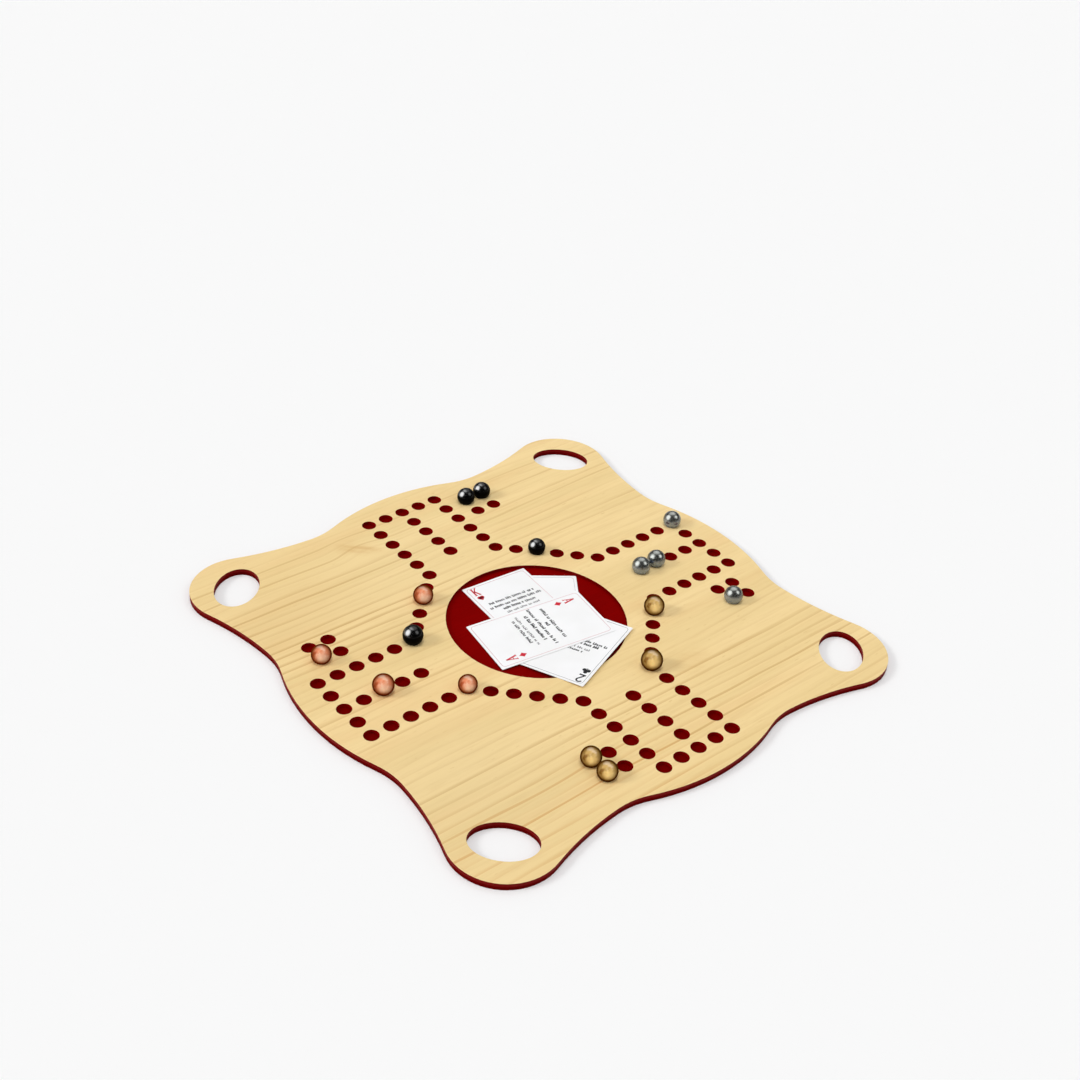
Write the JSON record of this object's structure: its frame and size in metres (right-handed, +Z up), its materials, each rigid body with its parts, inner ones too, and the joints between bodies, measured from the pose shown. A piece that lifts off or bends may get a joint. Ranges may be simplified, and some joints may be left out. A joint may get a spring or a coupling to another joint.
{
  "type": "marble race game board",
  "caption": "Flat square game board with corner hand holes, marbles seated in lanes of shallow round holes and playing cards lying in a round central well.",
  "frame": {"origin": "middle of the board on its underside", "axes": "+Z up out of the playing face; +X along the arm of lanes whose start block holds the gold marbles, +Y along the arm with the steel ones"},
  "size_m": [0.434, 0.434, 0.0214],
  "materials": {
    "pine": "satin",
    "red_stain": "satin",
    "black_marble": "polished",
    "steel_marble": "polished",
    "gold_marble": "polished",
    "copper_marble": "polished",
    "card": "satin"
  },
  "bodies": {
    "board": {"base_sheet": "red_stain", "face_sheet": "pine"},
    "black_marble_1": {"black_marble_1": "black_marble"},
    "black_marble_2": {"black_marble_2": "black_marble"},
    "black_marble_3": {"black_marble_3": "black_marble"},
    "black_marble_4": {"black_marble_4": "black_marble"},
    "steel_marble_1": {"steel_marble_1": "steel_marble"},
    "steel_marble_2": {"steel_marble_2": "steel_marble"},
    "steel_marble_3": {"steel_marble_3": "steel_marble"},
    "steel_marble_4": {"steel_marble_4": "steel_marble"},
    "gold_marble_1": {"gold_marble_1": "gold_marble"},
    "gold_marble_2": {"gold_marble_2": "gold_marble"},
    "gold_marble_3": {"gold_marble_3": "gold_marble"},
    "gold_marble_4": {"gold_marble_4": "gold_marble"},
    "copper_marble_1": {"copper_marble_1": "copper_marble"},
    "copper_marble_2": {"copper_marble_2": "copper_marble"},
    "copper_marble_3": {"copper_marble_3": "copper_marble"},
    "copper_marble_4": {"copper_marble_4": "copper_marble"},
    "under_card": {"under_card": "card"},
    "heart_card": {"heart_card": "card"},
    "club_card": {"club_card": "card"},
    "diamond_card": {"diamond_card": "card"}
  },
  "joints": [
    {"name": "black_marble_1_lift", "type": "slide", "parent": "board", "child": "black_marble_1", "axis": [0, 0, 1], "range_m": [0, 0.03]},
    {"name": "black_marble_2_lift", "type": "slide", "parent": "board", "child": "black_marble_2", "axis": [0, 0, 1], "range_m": [0, 0.03]},
    {"name": "black_marble_3_lift", "type": "slide", "parent": "board", "child": "black_marble_3", "axis": [0, 0, 1], "range_m": [0, 0.03]},
    {"name": "black_marble_4_lift", "type": "slide", "parent": "board", "child": "black_marble_4", "axis": [0, 0, 1], "range_m": [0, 0.03]},
    {"name": "steel_marble_1_lift", "type": "slide", "parent": "board", "child": "steel_marble_1", "axis": [0, 0, 1], "range_m": [0, 0.03]},
    {"name": "steel_marble_2_lift", "type": "slide", "parent": "board", "child": "steel_marble_2", "axis": [0, 0, 1], "range_m": [0, 0.03]},
    {"name": "steel_marble_3_lift", "type": "slide", "parent": "board", "child": "steel_marble_3", "axis": [0, 0, 1], "range_m": [0, 0.03]},
    {"name": "steel_marble_4_lift", "type": "slide", "parent": "board", "child": "steel_marble_4", "axis": [0, 0, 1], "range_m": [0, 0.03]},
    {"name": "gold_marble_1_lift", "type": "slide", "parent": "board", "child": "gold_marble_1", "axis": [0, 0, 1], "range_m": [0, 0.03]},
    {"name": "gold_marble_2_lift", "type": "slide", "parent": "board", "child": "gold_marble_2", "axis": [0, 0, 1], "range_m": [0, 0.03]},
    {"name": "gold_marble_3_lift", "type": "slide", "parent": "board", "child": "gold_marble_3", "axis": [0, 0, 1], "range_m": [0, 0.03]},
    {"name": "gold_marble_4_lift", "type": "slide", "parent": "board", "child": "gold_marble_4", "axis": [0, 0, 1], "range_m": [0, 0.03]},
    {"name": "copper_marble_1_lift", "type": "slide", "parent": "board", "child": "copper_marble_1", "axis": [0, 0, 1], "range_m": [0, 0.03]},
    {"name": "copper_marble_2_lift", "type": "slide", "parent": "board", "child": "copper_marble_2", "axis": [0, 0, 1], "range_m": [0, 0.03]},
    {"name": "copper_marble_3_lift", "type": "slide", "parent": "board", "child": "copper_marble_3", "axis": [0, 0, 1], "range_m": [0, 0.03]},
    {"name": "copper_marble_4_lift", "type": "slide", "parent": "board", "child": "copper_marble_4", "axis": [0, 0, 1], "range_m": [0, 0.03]},
    {"name": "under_card_lift", "type": "slide", "parent": "board", "child": "under_card", "axis": [0, 0, 1], "range_m": [0, 0.03]},
    {"name": "heart_card_lift", "type": "slide", "parent": "under_card", "child": "heart_card", "axis": [0, 0, 1], "range_m": [0, 0.03]},
    {"name": "club_card_lift", "type": "slide", "parent": "heart_card", "child": "club_card", "axis": [0, 0, 1], "range_m": [0, 0.03]},
    {"name": "diamond_card_lift", "type": "slide", "parent": "club_card", "child": "diamond_card", "axis": [0, 0, 1], "range_m": [0, 0.03]}
  ]
}
